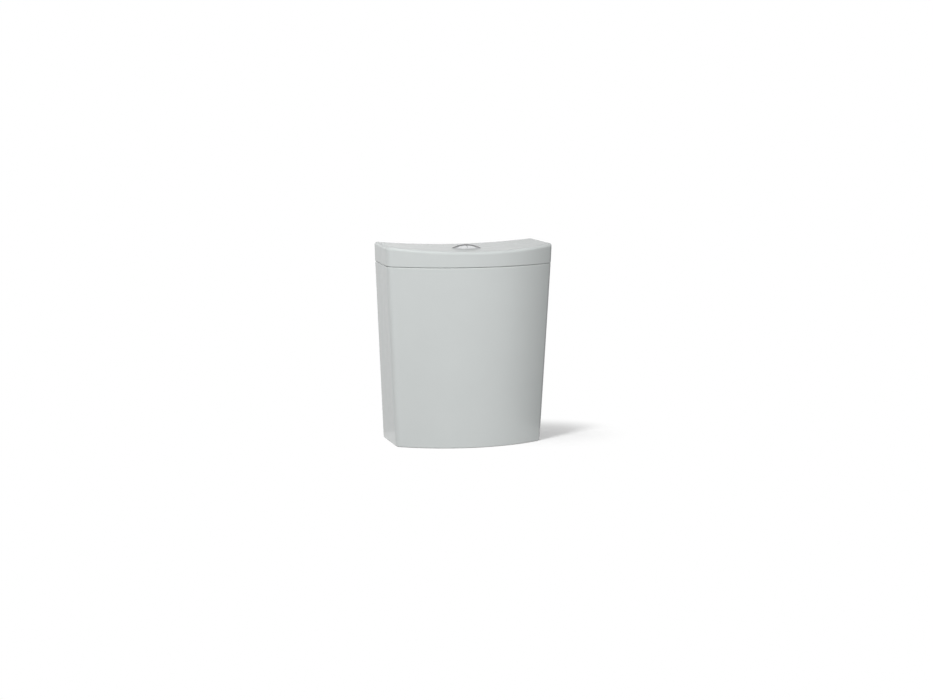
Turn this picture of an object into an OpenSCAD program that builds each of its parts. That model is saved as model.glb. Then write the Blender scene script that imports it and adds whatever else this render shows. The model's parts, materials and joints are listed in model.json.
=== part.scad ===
// Bow-fronted toilet cistern with a two-button flush: a tapered ceramic tank, a dished ceramic lid,
// a two-stage flush valve under the buttons and a float-operated fill valve.
// Sizes are in millimetres. X runs to the right, Y to the wall and Z up.
// The origin lies on the floor, under the middle of the overall box.

/* [Tank] */
// Width across the rim
tank_w = 332.2; // [315:0.2:370]
// Width across the back of the rim
back_w = 325.6; // [312:0.2:360]
// Width across the base
tank_base_w = 294.6; // [280:0.2:315]
// Depth at the middle of the rim
tank_d = 186; // [178:1:210]
// Depth at the middle of the base
tank_base_d = 169.5; // [162:0.5:178]
// Depth of the side faces at the rim
side_d = 129; // [120:1:140]
// Depth of the side faces at the base
side_base_d = 120; // [112:1:130]
// Height of the rim above the foot
tank_h = 356.4; // [345:0.2:400]
// Thickness of the ceramic walls
wall = 10; // [8:0.5:12]
// Thickness of the tank's floor
floor_t = 11; // [9:0.5:14]
// Height of the hollow under the floor
skirt_h = 34; // [32:1:42]
// Radius of the two upright corners at the front
corner_r = 18; // [12:1:24]
// Radius of the two upright corners at the back
back_corner_r = 6; // [4:0.5:12]
// Radius on the foot and the rim
edge_r = 2; // [1:0.25:3]
// Radius between the walls and the floor
floor_fillet = 8; // [4:1:12]
// Distance between the two bolt holes in the floor
bolt_spacing = 140; // [132:1:150]
// Diameter of the bolt holes
bolt_hole_d = 12; // [10:0.5:14]

/* [Lid] */
// How far the lid stands out past the tank's tapering outline
lid_over = 0.2; // [0:0.1:3]
// Gap between the rim and the lid, held by the bumpers
lid_gap = 0.5; // [0.5:0.1:2.5]
// Height of the lid at its two ends
lid_end_h = 39; // [34:0.1:44]
// How far the middle of the lid's top lies below its ends
lid_dip = 8.4; // [4:0.1:10]
// Thickness of the lid's top
lid_t = 11; // [9:0.5:13]
// Radius round the lid's top edge
lid_edge_r = 4.5; // [3:0.5:7]
// How far the locating lip reaches down into the tank
lip_h = 7; // [5:0.5:10]
// Thickness of the locating lip
lip_t = 7; // [5:0.5:9]
// Room between the lip and the tank's wall
lip_gap = 3; // [2:0.5:4]

/* [Flush button] */
// Diameter of the chrome bezel
bezel_d = 58; // [56:0.5:64]
// Height of the bezel above the lid
bezel_h = 2.25; // [2:0.25:4]
// Diameter of the two buttons together
button_d = 48.6; // [47:0.2:50]
// Height of the domed top above the bezel
dome_h = 4.9; // [2.5:0.1:6]
// Depth of the buttons' skirts
skirt_d = 13; // [11:0.5:15]
// Place of the split between the buttons, to the left of the middle
split_left = 3; // [0:0.5:5]
// Thickness of the bezel cup's wall
cup_wall = 1.6; // [1.2:0.1:2]
// Depth of the bezel cup below the lid's top
cup_depth = 33; // [31:0.5:36]
// Diameter of the push rods
rod_d = 4; // [3:0.5:4.5]
// Diameter of the feet under the push rods
foot_d = 6.6; // [6:0.1:6.8]

/* [Flush valve] */
// Diameter of the water outlet
outlet_d = 54; // [50:1:56]
// Wall of the threaded outlet tail
tail_wall = 4; // [3:0.25:5]
// Height of the tail's lower end above the foot
tail_end = 8; // [5:0.5:10]
// Thickness of the washer between the valve and the floor
valve_gasket_t = 3; // [2:0.5:4]
// Thickness of the big nut under the floor
valve_nut_t = 12; // [10:0.5:14]
// Diameter of the sponge gasket
sponge_d = 108; // [104:1:114]
// Distance of the outlet from the tank's back, as a share of the base's depth
outlet_place = 0.5782; // [0.57:0.0002:0.59]
// Height of the valve seat above its flange
seat_h = 16; // [12:0.5:20]
// Diameter of the standpipe
pipe_d = 34; // [30:0.5:36]
// Wall of the standpipe
pipe_wall = 2.5; // [2:0.25:3]
// Distance of the rocker pin below the tank's rim
pin_drop = 70; // [60:1:80]
// Distance of the overflow's mouth below the rocker pin
overflow_drop = 26; // [26:0.5:32]
// Length of a rocker on its pad side
pad_arm = 16; // [15:0.25:17]
// Length of a rocker on its lifting side
tip_arm = 24; // [23:0.5:27]
// Swing of a rocker
swing = 29; // [24:0.5:30]
// Height of the half-flush windows above the tank's floor
window_up = 96; // [70:1:110]

/* [Fill valve] */
// Diameter of the inlet thread
inlet_d = 20.96; // [20:0.02:22]
// Height of the inlet's lower end above the foot
inlet_end = 4; // [3:0.5:8]
// Diameter of the float cup
float_d = 68; // [60:1:70]
// Height of the float cup
float_h = 70; // [50:1:80]
// Room between the float and the tank's side wall
float_room = 7; // [5:0.5:9]
// Length of the float lever on its link side
lever_long = 30.1; // [28:0.1:32]
// Length of the float lever on its pilot side
lever_short = 14; // [12:0.5:15]
// Swing of the float lever
lever_swing = 23; // [18:0.5:25]
// Outer diameter of the refill pipe
refill_d = 7; // [6:0.25:7.5]

/* [Hidden] */
$fn = 64;

// Clearances
fit_gap = 0.1;
run_gap = 0.05;
slide_gap = 0.3;
hole_gap = 2;
bore_over = 1;

// Mesh steps round the ceramic shapes
corner_steps = 5;
front_steps = 20;
edge_steps = 2;
dome_steps = 360;
round_steps = 4;
least_corner_r = 3;

// Levels and places that several pieces share
lid_mid_h = lid_end_h - lid_dip;
back_y = tank_plan(tank_h + lid_mid_h - lid_edge_r)[2] / 2;
axis_y = back_y - outlet_place * tank_base_d;
floor_z = skirt_h + floor_t;
land_z = tank_h + lid_gap;
lid_half_w = tank_w / 2 + lid_over;
top_z = land_z + lid_mid_h;
ceiling_z = top_z - lid_t;
lip_out = wall + lip_gap;
lip_in = lip_out + lip_t;

// Rockers: the pads lie under the push rods, and the tips lift the standpipe and its sleeve
half_swing = swing / 2;
press = 2 * pad_arm * sin(half_swing);
lift = 2 * tip_arm * sin(half_swing);
pin_z = tank_h - pin_drop;
pin_r = 2;
pad_r = 5;
tip_r = 3;
hub_r = 5;
rocker_w = 5.4;
rocker_t = 4;
rocker_gap = 1;
slab_y = (rocker_w + rocker_gap) / 2;
rod_x = pad_arm * cos(half_swing);
pad_top = pin_z + pad_arm * sin(half_swing) + pad_r;
tip_top = pin_z - tip_arm * sin(half_swing) + tip_r;
hook_z = tip_top + slide_gap;
hook_t = 4;
strap_t = 3;
strap_in = tip_arm + 2 * tip_r;
strap_out = strap_in + strap_t;

// Flush button
bezel_r = bezel_d / 2;
bezel_z = top_z + slide_gap;
bezel_top = bezel_z + bezel_h;
button_r = button_d / 2;
cup_r = button_r + slide_gap;
cup_out = cup_r + cup_wall;
cup_floor_t = 3;
cup_bottom = top_z - cup_depth;
cup_floor = cup_bottom + cup_floor_t;
lid_hole_r = cup_out + 2 * slide_gap;
dome_top = bezel_top + dome_h;
dome_r = (button_r * button_r + dome_h * dome_h) / (2 * dome_h);
button_wall = 1.6;
button_ceiling = bezel_top - button_wall;
split_gap = 0.6;
boss_r = 3.6;
boss_h = 10;
rod_r = rod_d / 2;
rod_top = button_ceiling;
foot_r = foot_d / 2;
foot_h = 9;
foot_z = pad_top + slide_gap;
locknut_t = 9;
locknut_r = 34;
spring_r = 5.2;
wire_r = 0.6;
spring_turns = 6;
spring_low = cup_floor + wire_r + fit_gap;
spring_high = button_ceiling - wire_r - fit_gap;

// Flush valve
bore_r = outlet_d / 2;
tail_r = bore_r + tail_wall;
seat_step = 2.5;
seat_wall = 3.5;
seat_depth = 10;
seat_bore_r = bore_r + seat_step;
seat_r = seat_bore_r + seat_wall;
flange_z = floor_z + valve_gasket_t;
flange_t = 6;
flange_top = flange_z + flange_t;
seat_z = flange_top + seat_h;
seat_bore_z = seat_z - seat_depth;
strap_room = 3;
tower_in = norm([strap_out, slab_y + rocker_w / 2]) + strap_room;
ring_w = 7;
tower_out = tower_in + ring_w;
post_place = tower_in + ring_w / 2;
flange_rim = 1.5;
flange_r = tower_out + flange_rim;
ring_h = 6;
post_r = 3.2;
overflow_z = pin_z - overflow_drop;
crown_z = overflow_z + hole_gap;
bar_h = 4.6;
bar_room = 0.8;
bar_z = pin_z - hub_r - bar_h - bar_room;
bar_half = 7;
bar_inset = 1;
ear_in = rocker_gap + rocker_w;
ear_t = 4;
ear_up = 6;
pin_over = 1.6;
pin_head_r = 3.4;
guide_up = 155;
guide_z = floor_z + guide_up;
guide_h = 6;
guide_w = 3.6;
pipe_r = pipe_d / 2;
pipe_in = pipe_r - pipe_wall;
funnel_w = 8;
funnel_r = pipe_r + funnel_w;
funnel_h = 14;
seal_t = 3.5;
plate_z = seat_z + seal_t;
plate_t = 4.5;
plate_rim = 1.5;
plate_r = seat_r + plate_rim;
seal_hub_room = 5;
seal_hub_drop = 3;
seal_hub_r = seat_bore_r - seal_hub_room;
seal_hub_z = seat_z - seal_hub_drop;
retainer_t = 2.4;
retainer_w = 2.6;
window_z = floor_z + window_up;
window_h = 9;
window_w = 14;
sleeve_r = pipe_r + slide_gap;
sleeve_wall = 3.2;
sleeve_lap = 5;
sleeve_out = sleeve_r + sleeve_wall;
sleeve_z = window_z - sleeve_lap;
sleeve_h = 20;
bracket_h = 6;
ledge_h = 3;
ledge_w = 2.5;
ledge_r = pipe_r + ledge_w;
valve_nut_w = 10;
valve_nut_r = tail_r + valve_nut_w;
sponge_r = sponge_d / 2;
sponge_end = 1;
outlet_hole_r = tail_r + hole_gap;

// Refill pipe, from the fill valve's nipple to the standpipe's funnel
refill_r = refill_d / 2;
refill_in = refill_r - 1;
spout_x = -14;
spout_forward = 12;
spout_y = axis_y - spout_forward;
bend_r = 7;
spout_room = 1;
spout_len = 1.6;
spout_end = overflow_z + lift + spout_room;
refill_z = spout_end + spout_len + bend_r;
clip_x = -sqrt(post_place * post_place - pow(spout_y - axis_y, 2));
clip_len = 6;
clip_w = 2;

// Fill valve
head_r = 24;
head_h = 36;
boss_out_r = 5;
boss_room = 7;
head_top = refill_z + boss_out_r + boss_room;
head_z = head_top - head_h;
neck_r = 18;
neck_h = 10;
nipple_off = 14;
nipple_r = refill_in - fit_gap;
nipple_start = 22;
nipple_len = 12;
nipple_gap = 1;
cap_r = 26;
cap_skirt = 5;
cap_z = head_top - cap_skirt;
diaphragm_t = 2.2;
cap_plate_t = 5.7;
cap_top = head_top + diaphragm_t + cap_plate_t;
inlet_r = inlet_d / 2;
inlet_bore_r = 7;
groove_w = 1.5;
groove_depth = 0.6;
groove_r = inlet_r - groove_depth;
fill_nut_t = 10;
fill_nut_r = 20;
fill_washer_t = 3;
fill_flange_r = 19;
fill_flange_t = 4;
fill_flange_z = floor_z + fill_washer_t;
column_r = 13;
riser_in = column_r + slide_gap;
riser_wall = 2.2;
riser_out = riser_in + riser_wall;
riser_up = 73;
riser_z = floor_z + riser_up;
riser_seat = 5.7;
riser_top = head_z + riser_seat;
column_lap = 50;
column_top = riser_z + column_lap;
collar_h = 10;
collar_r = 20;
fill_hole_room = 3.8;
fill_hole_r = inlet_r + fill_hole_room;
half_lever = lever_swing / 2;
float_travel = 2 * lever_long * sin(half_lever);
float_r = float_d / 2;
float_wall = 2;
float_drop = 6;
float_top = head_z - float_travel - float_drop;
float_z = float_top - float_h;
float_gap = 0.5;
float_in = riser_out + float_gap;
lever_x = lever_short;
lever_t = 5;
lever_w = 10;
nub_r = 3;
lever_z = cap_top + lever_short * sin(half_lever) + nub_r + slide_gap;
lever_pin_r = 1.5;
lever_ear_t = 3;
lever_ear_half = 4.5;
link_r = 1.6;
link_x = lever_x + lever_long * (1 + cos(half_lever)) / 2;
link_eye_z = lever_z - lever_long * sin(half_lever);
fork_gap = 4;
fork_room = 1;
collar_lip_r = 3.5;
collar_lip_t = 2;
lug_h = 6;
lug_drop = 2;
lug_w = 10;
level_clip_h = 7;
strainer_r = inlet_bore_r - fit_gap;
strainer_h = 18;
bumper_len = 14;
bumper_w = 6;

// Place of the fill valve: the float stays clear of the tapering side wall
fill_x = -(tank_plan(float_z)[0] - wall - float_room - float_r);
fill_y = spout_y + nipple_off;

function lerp(a, b, t) = a + (b - a) * t;

// Half width, side depth, middle depth and share of the width at the back, of the tank at a height.
// The lid carries on the same taper above the rim.
function tank_plan(z) =
    let (t = z / tank_h)
    [lerp(tank_base_w, tank_w, t) / 2, lerp(side_base_d, side_d, t), lerp(tank_base_d, tank_d, t),
     lerp(1, back_w / tank_w, t)];

// Points of a bow-fronted outline, taken in by an inset: the front from left to right, then the back
// from right to left. A point of the front and its partner on the back count the same from the left.
function bow_ring(plan, inset) =
    let (
        rise = plan[2] - plan[1],
        bow = (plan[0] * plan[0] + rise * rise) / (2 * rise),
        centre_y = back_y - plan[2] + bow,
        w = plan[0] - inset,
        back_half = plan[0] * plan[3] - inset,
        r = bow - inset,
        fr = max(corner_r - inset, least_corner_r),
        br = max(back_corner_r - inset, least_corner_r),
        corner_y = centre_y - sqrt(pow(r - fr, 2) - pow(w - fr, 2)),
        turn = atan2(corner_y - centre_y, w - fr),
        front_right = [for (i = [0:corner_steps])
            let (a = lerp(turn, 0, i / corner_steps))
            [w - fr + fr * cos(a), corner_y + fr * sin(a)]],
        front = [for (i = [1:front_steps - 1])
            let (a = lerp(-180 - turn, turn, i / front_steps))
            [r * cos(a), centre_y + r * sin(a)]],
        back_right = [for (i = [0:corner_steps])
            let (a = lerp(0, 90, i / corner_steps))
            [back_half - br + br * cos(a), back_y - inset - br + br * sin(a)]],
        back = [for (i = [1:front_steps - 1])
            [lerp(back_half - br, br - back_half, i / front_steps), back_y - inset]]
    )
    concat(
        [for (i = [corner_steps:-1:0]) [-front_right[i].x, front_right[i].y]], front, front_right,
        back_right, back, [for (i = [corner_steps:-1:0]) [-back_right[i].x, back_right[i].y]]
    );

// Stations of an arc in a wall's section, as [inset, height]
function section_arc(centre, r, from, to, steps) =
    [for (i = [0:steps]) let (a = lerp(from, to, i / steps)) centre + r * [cos(a), sin(a)]];

// Closed solid through a list of rings of equal length, capped by strips from the front to the back
module loft(rings) {
    n = len(rings[0]);
    last = (len(rings) - 1) * n;
    sides = [for (i = [0:len(rings) - 2], k = [0:n - 1], half = [0, 1])
        let (a = i * n + k, b = i * n + (k + 1) % n)
        half == 0 ? [a, a + n, b + n] : [a, b + n, b]];
    cap = [for (j = [0:n / 2 - 2], half = [0, 1])
        half == 0 ? [j, j + 1, n - 2 - j] : [j, n - 2 - j, n - 1 - j]];
    top = [for (f = cap) [last + f[2], last + f[1], last + f[0]]];
    polyhedron(points = [for (ring = rings, p = ring) p], faces = concat(sides, cap, top));
}

module tube(outer, inner, low, high) {
    difference() {
        translate([0, 0, low]) cylinder(r = outer, h = high - low);
        translate([0, 0, low - bore_over]) cylinder(r = inner, h = high - low + 2 * bore_over);
    }
}

module rod_along_y(r, length) {
    rotate([90, 0, 0]) cylinder(r = r, h = length, center = true);
}

// Box between two opposite corners
module block(low, high) {
    translate(low) cube(high - low);
}

module at_flush() {
    translate([0, axis_y, 0]) children();
}

module at_fill() {
    translate([fill_x, fill_y, 0]) children();
}

// The half-flush parts are the full-flush parts turned half round the flush axis
module half_turn() {
    rotate([0, 0, 180]) children();
}

module tank() {
    section = concat(
        section_arc([wall + floor_fillet, skirt_h - floor_fillet], floor_fillet, 90, 180, round_steps),
        section_arc([wall - edge_r, edge_r], edge_r, 0, -90, edge_steps),
        section_arc([edge_r, edge_r], edge_r, -90, -180, edge_steps),
        section_arc([edge_r, tank_h - edge_r], edge_r, 180, 90, edge_steps),
        section_arc([wall - edge_r, tank_h - edge_r], edge_r, 90, 0, edge_steps),
        section_arc([wall + floor_fillet, floor_z + floor_fillet], floor_fillet, 180, 270, round_steps)
    );
    rings = [for (s = section) [for (p = bow_ring(tank_plan(s[1]), s[0])) [p.x, p.y, s[1]]]];
    color("lightsteelblue") difference() {
        loft(rings);
        at_flush() floor_hole(outlet_hole_r);
        at_fill() floor_hole(fill_hole_r);
        for (side = [-1, 1])
            translate([side * bolt_spacing / 2, axis_y, 0]) floor_hole(bolt_hole_d / 2);
    }
}

module floor_hole(r) {
    translate([0, 0, skirt_h - bore_over]) cylinder(r = r, h = floor_t + 2 * bore_over);
}

// Height of the lid's top above its lowest line
function dish(x) = lid_dip * pow(x / lid_half_w, 2);

module lid() {
    flat = concat(
        [[lip_in, -lip_h], [lip_out, -lip_h], [lip_out, 0]],
        section_arc([edge_r - lid_over, edge_r], edge_r, -90, -180, edge_steps)
    );
    dished = section_arc([lid_edge_r - lid_over, lid_mid_h - lid_edge_r], lid_edge_r, 180, 90, round_steps);
    stations = concat(
        [[lip_in, lid_mid_h - lid_t, 1]],
        [for (s = flat) [s[0], s[1], 0]],
        [for (s = dished) [s[0], s[1], 1]]
    );
    rings = [for (s = stations) [for (p = bow_ring(tank_plan(tank_h + s[1]), s[0]))
        [p.x, p.y, land_z + s[1] + s[2] * dish(p.x)]]];
    color("lightsteelblue") difference() {
        loft(rings);
        at_flush() translate([0, 0, ceiling_z - bore_over])
            cylinder(r = lid_hole_r, h = lid_t + lid_dip + 2 * bore_over);
    }
}

// Four soft pads that the lid rests on
module lid_bumpers() {
    plan = tank_plan(tank_h);
    color("whitesmoke") for (side = [-1, 1], f = [0.2, 0.8])
        translate([side * (plan[0] * lerp(plan[3], 1, f) - wall / 2), back_y - plan[1] * f, tank_h])
            translate([-bumper_w / 2, -bumper_len / 2, 0]) cube([bumper_w, bumper_len, lid_gap]);
}

module button_housing() {
    lip = bezel_h / 5;
    color("silver") at_flush() difference() {
        union() {
            tube(cup_out, cup_r, cup_bottom, bezel_z + bezel_h / 2);
            translate([0, 0, cup_bottom]) cylinder(r = cup_out, h = cup_floor_t);
            rotate_extrude() polygon([
                [cup_r, bezel_z], [bezel_r - lip / 2, bezel_z], [bezel_r, bezel_z + lip / 2],
                [bezel_r, bezel_z + lip], [(bezel_r + cup_out) / 2, bezel_z + bezel_h / 2],
                [cup_out, bezel_top - lip], [cup_r + lip / 2, bezel_top], [cup_r, bezel_top - lip / 2]
            ]);
        }
        for (side = [-1, 1])
            translate([side * rod_x, -side * slab_y, cup_bottom - bore_over])
                cylinder(r = rod_r + slide_gap, h = cup_floor_t + 2 * bore_over);
    }
}

module button_locknut() {
    color("white") at_flush() difference() {
        translate([0, 0, ceiling_z - locknut_t - fit_gap]) cylinder(r = locknut_r, h = locknut_t, $fn = 6);
        translate([0, 0, ceiling_z - locknut_t - bore_over])
            cylinder(r = cup_out + fit_gap, h = locknut_t + 2 * bore_over);
    }
}

// Domed plug that both buttons are cut from
module button_plug(low) {
    rotate_extrude() intersection() {
        translate([0, low]) square([button_r, dome_top - low]);
        translate([0, dome_top - dome_r]) circle(r = dome_r, $fn = dome_steps);
    }
}

// One button, on the side of the split where X grows; split is that edge's place
module button(split) {
    low = bezel_top - skirt_d;
    reach = 2 * button_r;
    difference() {
        union() {
            difference() {
                intersection() {
                    button_plug(low);
                    block([split, -reach, low], [split + reach, reach, dome_top + dome_h]);
                }
                intersection() {
                    translate([0, 0, low - bore_over])
                        cylinder(r = button_r - button_wall, h = button_ceiling - low + bore_over);
                    block([split + button_wall, -reach, low - bore_over],
                          [split + reach, reach, button_ceiling]);
                }
            }
            translate([rod_x, -slab_y, button_ceiling - boss_h])
                cylinder(r = boss_r, h = boss_h + button_wall / 2);
        }
        translate([rod_x, -slab_y, button_ceiling - boss_h - bore_over])
            cylinder(r = rod_r + fit_gap, h = boss_h + bore_over);
    }
}

module full_flush_button() {
    color("gainsboro") at_flush() button(split_gap / 2 - split_left);
}

module half_flush_button() {
    color("gainsboro") at_flush() half_turn() button(split_left + split_gap / 2);
}

// Compression spring: a helix of round wire whose last turns close up to the ends
function spring_point(t) =
    let (a = 360 * spring_turns * t)
    [spring_r * cos(a), spring_r * sin(a), lerp(spring_low, spring_high, t)];

spring_rings = spring_turns * 8;
wire_sides = 6;
spring_gap = (spring_high - spring_low) / spring_turns - 2 * wire_r;
echo(least_gap_between_spring_turns = spring_gap);

function wire_ring(i) =
    let (
        t = i / spring_rings,
        a = 360 * spring_turns * t,
        p = spring_point(t)
    )
    [for (k = [0:wire_sides - 1])
        let (b = 360 * k / wire_sides)
        p + wire_r * [cos(b) * cos(a), cos(b) * sin(a), sin(b)]];

module spring() {
    rings = [for (i = [0:spring_rings]) wire_ring(i)];
    n = wire_sides;
    sides = [for (i = [0:spring_rings - 1], k = [0:n - 1], half = [0, 1])
        let (a = i * n + k, b = i * n + (k + 1) % n)
        half == 0 ? [a, b + n, a + n] : [a, b, b + n]];
    last = spring_rings * n;
    start = [for (k = [1:n - 2]) [0, k + 1, k]];
    end = [for (k = [1:n - 2]) [last, last + k, last + k + 1]];
    polyhedron(points = [for (ring = rings, p = ring) p], faces = concat(sides, start, end));
}

module full_flush_spring() {
    color("darkgray") at_flush() translate([rod_x, -slab_y, 0]) spring();
}

module half_flush_spring() {
    color("darkgray") at_flush() half_turn() translate([rod_x, -slab_y, 0]) spring();
}

module push_rod() {
    low = foot_z + foot_h / 3;
    translate([rod_x, -slab_y, low]) cylinder(r = rod_r, h = rod_top - low);
}

module full_flush_rod() {
    color("white") at_flush() push_rod();
}

module half_flush_rod() {
    color("white") at_flush() half_turn() push_rod();
}

// Screw-on foot that sets how far the rod reaches down
module rod_foot() {
    translate([rod_x, -slab_y, foot_z]) difference() {
        cylinder(r = foot_r, h = foot_h);
        translate([0, 0, foot_h / 3]) cylinder(r = rod_r + fit_gap, h = foot_h);
    }
}

module full_rod_foot() {
    color("steelblue") at_flush() rod_foot();
}

module half_rod_foot() {
    color("steelblue") at_flush() half_turn() rod_foot();
}

module flush_valve_base() {
    color("white") at_flush() rotate_extrude() polygon([
        [bore_r, tail_end], [tail_r, tail_end], [tail_r, flange_z], [flange_r, flange_z],
        [flange_r, flange_top], [seat_r, flange_top], [seat_r, seat_z], [seat_bore_r, seat_z],
        [seat_bore_r, seat_bore_z], [bore_r, seat_bore_z]
    ]);
}

module flush_valve_gasket() {
    color("dimgray") at_flush() tube(flange_r - hole_gap, tail_r + slide_gap, floor_z, flange_z);
}

module flush_valve_nut() {
    color("white") at_flush() difference() {
        translate([0, 0, skirt_h - valve_nut_t]) cylinder(r = valve_nut_r, h = valve_nut_t, $fn = 8);
        translate([0, 0, skirt_h - valve_nut_t - bore_over])
            cylinder(r = tail_r + fit_gap, h = valve_nut_t + 2 * bore_over);
    }
}

// Thick sponge ring that seals the outlet to the bowl, fitted over the nut
module bowl_gasket() {
    nut_low = skirt_h - valve_nut_t - slide_gap;
    top = skirt_h - slide_gap;
    taper = 6;
    color("dimgray") at_flush() rotate_extrude() polygon([
        [tail_r + slide_gap, tail_end], [tail_r + slide_gap, nut_low], [valve_nut_r + slide_gap, nut_low],
        [valve_nut_r + slide_gap, top], [sponge_r, top], [sponge_r, sponge_end + taper],
        [sponge_r - taper, sponge_end], [tail_r + taper, sponge_end]
    ]);
}

module valve_tower() {
    color("white") at_flush() difference() {
        union() {
            tube(tower_out, tower_in, flange_top, flange_top + ring_h);
            tube(tower_out, tower_in, crown_z, crown_z + ring_h);
            tube(pipe_r + slide_gap + guide_w, pipe_r + slide_gap, guide_z, guide_z + guide_h);
            for (a = [45:90:315]) rotate([0, 0, a]) {
                translate([post_place, 0, flange_top])
                    cylinder(r = post_r, h = crown_z + ring_h - flange_top);
                block([pipe_r + slide_gap + guide_w / 2, -guide_w / 2, guide_z],
                      [post_place, guide_w / 2, guide_z + guide_h]);
            }
            for (side = [0, 180]) rotate([0, 0, side]) {
                block([-bar_half, tower_in, crown_z], [bar_half, tower_out - bar_inset, bar_z + bar_h]);
                block([-bar_half, ear_in, bar_z], [bar_half, tower_in + ring_w / 2, bar_z + bar_h]);
                block([-bar_half, ear_in, bar_z], [bar_half, ear_in + ear_t, pin_z + ear_up]);
            }
        }
        translate([0, 0, pin_z]) rod_along_y(pin_r + run_gap, 2 * (ear_in + ear_t) + 2 * bore_over);
    }
}

module rocker_pin() {
    reach = ear_in + ear_t;
    color("silver") at_flush() translate([0, 0, pin_z]) {
        rod_along_y(pin_r, 2 * (reach + pin_over));
        for (side = [-1, 1])
            translate([0, side * (reach + fit_gap + pin_over / 2), 0]) rod_along_y(pin_head_r, pin_over);
    }
}

module rocker() {
    translate([0, -slab_y, pin_z]) rotate([0, -half_swing, 0]) difference() {
        union() {
            translate([(pad_arm - tip_arm) / 2, 0, 0])
                cube([pad_arm + tip_arm, rocker_w, rocker_t], center = true);
            rod_along_y(hub_r, rocker_w);
            translate([pad_arm, 0, 0]) rod_along_y(pad_r, rocker_w);
            translate([-tip_arm, 0, 0]) rod_along_y(tip_r, rocker_w);
        }
        rod_along_y(pin_r + run_gap, rocker_w + 2 * bore_over);
    }
}

module full_flush_rocker() {
    color("steelblue") at_flush() rocker();
}

module half_flush_rocker() {
    color("skyblue") at_flush() half_turn() rocker();
}

// Strap with a hook over a rocker's tip, rising from a bracket whose lower face is at low
module lifting_strap(low, inner) {
    near = -slab_y - rocker_w / 2;
    far = -slab_y + rocker_w / 2;
    block([-strap_out, near, low], [-inner, far, low + bracket_h]);
    block([-strap_out, near, low], [-strap_in, far, hook_z + hook_t]);
    block([-strap_out, near, hook_z], [tip_r - tip_arm, far, hook_z + hook_t]);
}

module flush_standpipe() {
    funnel_z = overflow_z - funnel_h;
    mouth_r = funnel_r - pipe_wall;
    color("white") at_flush() difference() {
        union() {
            translate([0, 0, seal_hub_z]) cylinder(r = seal_hub_r, h = plate_z - seal_hub_z);
            translate([0, 0, plate_z]) cylinder(r = plate_r, h = plate_t);
            translate([0, 0, plate_z]) cylinder(r = pipe_r, h = funnel_z - plate_z);
            translate([0, 0, funnel_z]) cylinder(r1 = pipe_r, r2 = funnel_r, h = funnel_h);
            translate([0, 0, sleeve_z - slide_gap - ledge_h]) cylinder(r = ledge_r, h = ledge_h);
            lifting_strap(overflow_z - bracket_h, mouth_r);
        }
        translate([0, 0, seal_hub_z - bore_over])
            cylinder(r = pipe_in, h = funnel_z - seal_hub_z + bore_over);
        translate([0, 0, funnel_z]) cylinder(r1 = pipe_in, r2 = mouth_r, h = funnel_h);
        for (a = [0, 90]) rotate([0, 0, a + 45])
            translate([0, 0, window_z + window_h / 2])
                cube([2 * pipe_r + bore_over, window_w, window_h], center = true);
    }
}

module flush_seal() {
    color("firebrick") at_flush() tube(plate_r, seal_hub_r + fit_gap, seat_z, plate_z);
}

module seal_retainer() {
    color("white") at_flush()
        tube(seal_hub_r + retainer_w, seal_hub_r + fit_gap, seat_z - retainer_t, seat_z);
}

module half_flush_sleeve() {
    color("skyblue") at_flush() difference() {
        union() {
            translate([0, 0, sleeve_z]) cylinder(r = sleeve_out, h = sleeve_h);
            half_turn() lifting_strap(sleeve_z + sleeve_h - bracket_h, sleeve_r);
        }
        translate([0, 0, sleeve_z - bore_over]) cylinder(r = sleeve_r, h = sleeve_h + 2 * bore_over);
    }
}

module fill_valve_shank() {
    groove_z = skirt_h - fill_nut_t - groove_w;
    color("white") at_fill() rotate_extrude() polygon([
        [inlet_bore_r, inlet_end], [inlet_r, inlet_end], [inlet_r, groove_z - groove_w],
        [groove_r, groove_z - groove_w], [groove_r, groove_z], [inlet_r, groove_z],
        [inlet_r, fill_flange_z], [fill_flange_r, fill_flange_z],
        [fill_flange_r, fill_flange_z + fill_flange_t], [column_r, fill_flange_z + fill_flange_t],
        [column_r, column_top], [inlet_bore_r, column_top]
    ]);
}

module fill_valve_washer() {
    color("dimgray") at_fill() tube(fill_flange_r, inlet_r + slide_gap, floor_z, fill_flange_z);
}

module fill_valve_nut() {
    color("white") at_fill() difference() {
        translate([0, 0, skirt_h - fill_nut_t]) cylinder(r = fill_nut_r, h = fill_nut_t, $fn = 6);
        translate([0, 0, skirt_h - fill_nut_t - bore_over])
            cylinder(r = inlet_r + fit_gap, h = fill_nut_t + 2 * bore_over);
    }
}

module inlet_strainer() {
    wall_t = 1;
    color("gold") at_fill() translate([0, 0, inlet_end + wall_t]) difference() {
        cylinder(r = strainer_r, h = strainer_h);
        translate([0, 0, -bore_over]) cylinder(r = strainer_r - wall_t, h = strainer_h - wall_t + bore_over);
    }
}

module fill_valve_riser() {
    color("gainsboro") at_fill() tube(riser_out, riser_in, riser_z, riser_top);
}

module riser_collar() {
    color("steelblue") at_fill() tube(collar_r, riser_out + fit_gap, riser_z, riser_z + collar_h);
}

module fill_valve_head() {
    socket_r = riser_out + fit_gap;
    socket_top = riser_top + fit_gap;
    cavity_r = 9;
    color("gray") at_fill() difference() {
        union() {
            translate([0, 0, head_z]) cylinder(r = neck_r, h = neck_h);
            translate([0, 0, head_z + neck_h]) cylinder(r = head_r, h = head_h - neck_h);
            translate([0, -nipple_off, refill_z]) rotate([0, 90, 0]) {
                cylinder(r = boss_out_r, h = nipple_start);
                cylinder(r = nipple_r, h = nipple_start + nipple_len);
            }
        }
        translate([0, 0, head_z - bore_over]) cylinder(r = socket_r, h = socket_top - head_z + bore_over);
        translate([0, 0, head_z]) cylinder(r = cavity_r, h = head_h + bore_over);
    }
}

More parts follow.
